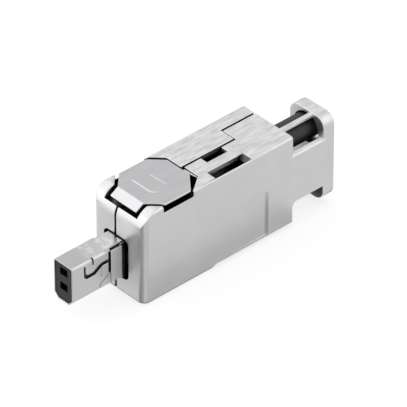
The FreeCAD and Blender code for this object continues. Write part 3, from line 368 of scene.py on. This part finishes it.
# Plastics. The sleeve is a softer, duller and lighter black than the moulded inner parts.
polyester = {
    "darkColour": "#1e1e20",
    "colour": "#2c2c2f",
    "cloudMm": 2.5,
    # painted shade: the gap colour and its reach darken slots and seams
    "paintedGapShade": "#020202",
    "gapMm": 4.0,
    "gapDark": 0.40,
    "gapClear": 0.85,
    "roughness": 0.48,
    "roughSpread": 0.12,
    "grainMm": 0.14,
    "bump": 0.12,
    "bumpMm": 0.03,
    "ior": 1.5,
    "specular": 0.35,
}
elastomer = {
    **polyester,
    "darkColour": "#343436",
    "colour": "#444446",
    "roughness": 0.62,
    "grainMm": 0.22,
}


def mouldedBlack(name, look):
    # spark-eroded mould skin: near black, dull, with a fine even grain that breaks the gloss
    material, tree = newMaterial(name)
    place = addNode(tree, "ShaderNodeTexCoord").outputs["Object"]
    grain = addNode(tree, "ShaderNodeTexNoise",
                    {"Scale": perMm(look["grainMm"]), "Detail": 3.0}, {"Vector": place})
    clouds = addNode(tree, "ShaderNodeTexNoise",
                     {"Scale": perMm(look["cloudMm"]), "Detail": 2.0}, {"Vector": place})
    tint = addNode(tree, "ShaderNodeMixRGB",
                   {"Color1": linearColour(look["darkColour"]),
                    "Color2": linearColour(look["colour"])},
                   {"Fac": clouds.outputs["Fac"]})
    rough = addNode(tree, "ShaderNodeMapRange",
                    {"From Min": shared["noiseLow"], "From Max": shared["noiseHigh"],
                     "To Min": look["roughness"] - look["roughSpread"] / 2,
                     "To Max": look["roughness"] + look["roughSpread"] / 2},
                    {"Value": grain.outputs["Fac"]})
    bump = addNode(tree, "ShaderNodeBump",
                   {"Strength": look["bump"], "Distance": look["bumpMm"] * mm},
                   {"Height": grain.outputs["Fac"]})
    # painted shade: the tint turns near black where walls stand close
    tintWithPaintedLight = paintShadeInGaps(tree, tint, look)
    shader = addNode(tree, "ShaderNodeBsdfPrincipled",
                     {"IOR": look["ior"], "Specular IOR Level": look["specular"]},
                     {"Base Color": tintWithPaintedLight.outputs[0], "Roughness": rough.outputs[0],
                      "Normal": bump.outputs[0]})
    addNode(tree, "ShaderNodeOutputMaterial", None, {"Surface": shader.outputs[0]})
    return material


castNickel = satinNickelOnZinc("satinNickelOnDieCastZinc", dieCast)
buttonNickel = satinNickelOnZinc("satinNickelOnButton", buttonLook)
brightSheet = tinPlatedSheet("brightTinOnSteelStrip", rolledSheet)
contactGold = drawnMetal("goldOnStampedBrass", goldOnBrass)
springSteel = drawnMetal("drawnSpringSteel", springWire)
blackPolyester = mouldedBlack("blackMouldedPolyester", polyester)
blackElastomer = mouldedBlack("blackElastomer", elastomer)
print("materials made")

# The finish of each piece, the width of its rounded edges in mm, and the angle in degrees from
# which an edge is rounded. The coils of the springs have no edges.
finishes = {
    "housing_near_half": (castNickel, 0.10, 32),
    "housing_far_half": (castNickel, 0.10, 32),
    "release_button": (buttonNickel, 0.10, 20),
    "shield_collar": (castNickel, 0.06, 32),
    "plug_shell": (brightSheet, 0.03, 40),
    "shield_clip": (brightSheet, 0.03, 32),
    "contact_insert": (blackPolyester, 0.04, 32),
    "contact_upper": (contactGold, 0.02, 32),
    "contact_lower": (contactGold, 0.02, 32),
    "contact_carrier": (blackPolyester, 0.05, 32),
    "wire_cap": (blackPolyester, 0.05, 32),
    "latch_slider": (blackPolyester, 0.05, 32),
    "cable_sleeve": (blackElastomer, 0.06, 32),
    "button_spring": (springSteel, 0, 0),
    "slider_spring": (springSteel, 0, 0),
}


edges = {
    "weldMm": 0.0005,
    "flatDegrees": 0.6,
    "segments": 2,
    "flatWeight": 90,
}


def softenEdges(piece, width, angle):
    # casting and moulding leave no sharp edge: join the facets, then round what is sharper
    weld = piece.modifiers.new("joinFacets", "WELD")
    weld.merge_threshold = edges["weldMm"] * mm
    flat = piece.modifiers.new("flatFaces", "DECIMATE")
    flat.decimate_type = "DISSOLVE"
    flat.angle_limit = math.radians(edges["flatDegrees"])
    bevel = piece.modifiers.new("roundEdges", "BEVEL")
    bevel.width = width * mm
    bevel.segments = edges["segments"]
    bevel.limit_method = "ANGLE"
    bevel.angle_limit = math.radians(angle)
    bevel.use_clamp_overlap = False
    shade = piece.modifiers.new("keepFlatsFlat", "WEIGHTED_NORMAL")
    shade.mode = "FACE_AREA"
    shade.weight = edges["flatWeight"]
    for face in piece.data.polygons:
        face.use_smooth = True


for node, (material, width, angle) in finishes.items():
    dressNode(node, material)
    if width:
        softenEdges(nodes[node], width, angle)
print("finishes given to the frame's pieces")

# Table, light and camera.
studio = {
    "tableColour": "#959595",
    "tableGlow": 0.74,
    "tableRoughness": 0.9,
    "tableSpecular": 0.1,
    "tableSize": 1.6,
    "ambient": 0.78,
}


def makeTable():
    mesh = bpy.data.meshes.new("table")
    half = studio["tableSize"] / 2
    corners = [(-half, -half, 0), (half, -half, 0), (half, half, 0), (-half, half, 0)]
    mesh.from_pydata(corners, [], [(0, 1, 2, 3)])
    table = bpy.data.objects.new("table", mesh)
    bpy.context.scene.collection.objects.link(table)
    material, tree = newMaterial("paleTable")
    shader = addNode(tree, "ShaderNodeBsdfPrincipled",
                     {"Base Color": linearColour(studio["tableColour"]),
                      "Roughness": studio["tableRoughness"],
                      "Specular IOR Level": studio["tableSpecular"],
                      "Emission Color": (1, 1, 1, 1), "Emission Strength": studio["tableGlow"]})
    addNode(tree, "ShaderNodeOutputMaterial", None, {"Surface": shader.outputs[0]})
    mesh.materials.append(material)
    table.visible_glossy = False  # the metal reflects the soft room, as on a light table


# Soft patches of the room, which show as light and dark in the gloss. Each has its direction, the
# brightness that it adds, and the cosines where it starts and where it is full.
roomPatches = [
    ((0.54, 0.59, 0.60), 0.06, 0.60, 0.96),  # tops
    ((-0.35, 0.60, 0.72), 0.42, 0.55, 0.96),  # the button's lip
    ((-0.85, 0.55, 0.05), 0.44, 0.66, 0.95),  # rounding above the front
    ((0.54, -0.60, 0.59), 0.52, 0.75, 0.97),  # edge between the near side and the top
    ((-0.80, -0.07, -0.60), -0.48, 0.70, 0.94),  # dark band in the near corner's fillet
    ((0.03, -0.80, -0.60), -0.17, 0.88, 0.97),  # that band toward the near side
    ((-0.77, 0.24, -0.60), -0.24, 0.92, 0.99),  # that band toward the front
    ((0.54, 0.59, -0.60), -0.55, 0.70, 0.95),  # faces seen at a low angle, along the outline
]


def makeRoom():
    world = bpy.data.worlds.new("softRoom")
    bpy.context.scene.world = world
    world.use_nodes = True
    tree = world.node_tree
    tree.nodes.clear()
    direction = addNode(tree, "ShaderNodeTexCoord").outputs["Generated"]
    total = None
    for toward, gain, start, full in roomPatches:
        facing = addNode(tree, "ShaderNodeVectorMath", {"operation": "DOT_PRODUCT",
                                                        1: Vector(toward).normalized()},
                         {0: direction})
        patch = addNode(tree, "ShaderNodeMapRange",
                        {"interpolation_type": "SMOOTHSTEP", "From Min": start,
                         "From Max": full, "To Max": gain},
                        {"Value": facing.outputs["Value"]})
        links = {0: patch.outputs[0]}
        if total is not None:
            links[1] = total
        total = addNode(tree, "ShaderNodeMath", {"operation": "ADD", 1: studio["ambient"]},
                        links).outputs[0]
    light = addNode(tree, "ShaderNodeBackground", {"Color": (1, 1, 1, 1)}, {"Strength": total})
    addNode(tree, "ShaderNodeOutputWorld", None, {"Surface": light.outputs[0]})


# Angles in degrees, distances in mm, and the clip limits in metres.
viewpoint = {
    "azimuth": -42.411,
    "elevation": 36.522,
    "distance": 787.3,
    "shiftRight": 11.875,
    "shiftUp": 12.118,
    "aimX": -13.3,
    "focalPixels": 5623.6,
    "imagePixels": 407,
    "sensorMm": 36,
    "nearest": 0.05,
    "farthest": 20,
}


def makeCamera():
    a = math.radians(viewpoint["azimuth"])
    e = math.radians(viewpoint["elevation"])
    back = Vector((math.sin(a) * math.cos(e), -math.cos(a) * math.cos(e), math.sin(e)))
    right = Vector((math.cos(a), math.sin(a), 0))
    up = back.cross(right)
    data = bpy.data.cameras.new("camera")
    data.sensor_width = viewpoint["sensorMm"]
    data.lens = viewpoint["focalPixels"] / viewpoint["imagePixels"] * data.sensor_width
    data.clip_start = viewpoint["nearest"]
    data.clip_end = viewpoint["farthest"]
    camera = bpy.data.objects.new("camera", data)
    bpy.context.scene.collection.objects.link(camera)
    aim = Vector((viewpoint["aimX"], 0, 0))
    at = (aim + right * viewpoint["shiftRight"] + up * viewpoint["shiftUp"]
          + back * viewpoint["distance"])
    turn = Matrix((right, up, back)).transposed()
    camera.matrix_world = Matrix.Translation(at * mm) @ turn.to_4x4()
    bpy.context.scene.camera = camera


# Cards that lie on the table and show only in the metal, as painted reflections of shade: a black
# one under the neck darkens the cable plate's low front face, and grey ones beside and before the
# housing darken its foot there.
cards = {
    "blackCard": {"x": (12.0, 20.4), "y": (-4.6, 6.0), "rise": 0.3, "glow": 0.0},
    "greyCard": {"x": (-13.0, 17.5), "y": (-10.2, -5.4), "rise": 0.05, "glow": 0.53},
    "frontCard": {"x": (-22.5, -15.2), "y": (-3.0, 11.0), "rise": 0.05, "glow": 0.60},
}


def makeCard(name, card):
    mesh = bpy.data.meshes.new(name)
    (x0, x1), (y0, y1), z = card["x"], card["y"], card["rise"]
    corners = [(x0, y0, z), (x1, y0, z), (x1, y1, z), (x0, y1, z)]
    mesh.from_pydata([Vector(corner) * mm for corner in corners], [], [(0, 1, 2, 3)])
    piece = bpy.data.objects.new(name, mesh)
    bpy.context.scene.collection.objects.link(piece)
    material, tree = newMaterial(name)
    light = addNode(tree, "ShaderNodeEmission", {"Strength": card["glow"]})
    addNode(tree, "ShaderNodeOutputMaterial", None, {"Surface": light.outputs[0]})
    mesh.materials.append(material)
    piece.visible_camera = False
    piece.visible_diffuse = False
    piece.visible_shadow = False


makeTable()
for name, card in cards.items():
    makeCard(name, card)
makeRoom()
makeCamera()
bpy.context.scene.view_settings.view_transform = "Standard"
print("table, room and camera made")
